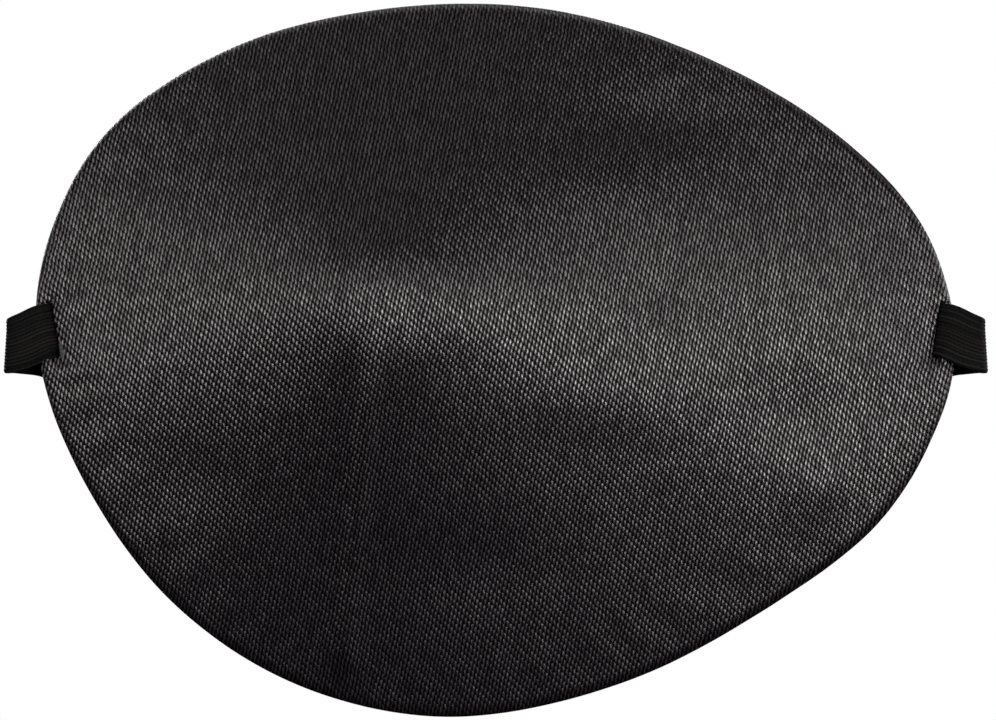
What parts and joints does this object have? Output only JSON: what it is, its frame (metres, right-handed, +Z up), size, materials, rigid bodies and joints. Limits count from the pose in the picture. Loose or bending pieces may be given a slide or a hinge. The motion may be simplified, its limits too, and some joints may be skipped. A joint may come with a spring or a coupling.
{
  "type": "eye patch",
  "caption": "Satin-covered concave eye patch with a soft moulded pad, a turned rim with side slots, and a flat elastic headband with a slide adjuster.",
  "frame": {"origin": "midway between the two band slots, on the plane of the rim's back, where the patch rests round the eye", "axes": "+Z is up on the wearer's face, +X is to the right seen from the front, +Y points back to the face and along the headband"},
  "size_m": [0.092, 0.1518, 0.066],
  "materials": {
    "satin": "black satin weave, soft directional sheen",
    "foam": "pressed black pad",
    "tape": "thin woven tape",
    "lining": "matt black brushed cloth",
    "thread": "black sewing thread",
    "elastic": "flat ribbed black elastic",
    "slider": "satin-gloss moulded black plastic"
  },
  "bodies": {
    "root": {"front_cover": "satin", "foam_pad": "foam", "dart_tape": "tape", "back_lining": "lining", "hem_seam": "thread", "left_slot_loop": "elastic", "right_slot_loop": "elastic"},
    "headband": {"headband": "elastic", "left_band_end": "elastic", "left_bar_tack": "thread", "adjuster_leg": "elastic"},
    "slider": {"slide_adjuster": "slider", "slider_band_end": "elastic", "slider_bar_tack": "thread"}
  },
  "joints": [
    {"name": "band_tilt", "type": "hinge", "parent": "root", "child": "headband", "pos_m": [0, 0, -0.0019], "axis": [1, 0, 0], "range_deg": [-25, 25]},
    {"name": "adjuster_slide", "type": "slide", "parent": "headband", "child": "slider", "axis": [-0.1045, 0.9932, -0.052], "range_m": [0, 0.045]}
  ]
}
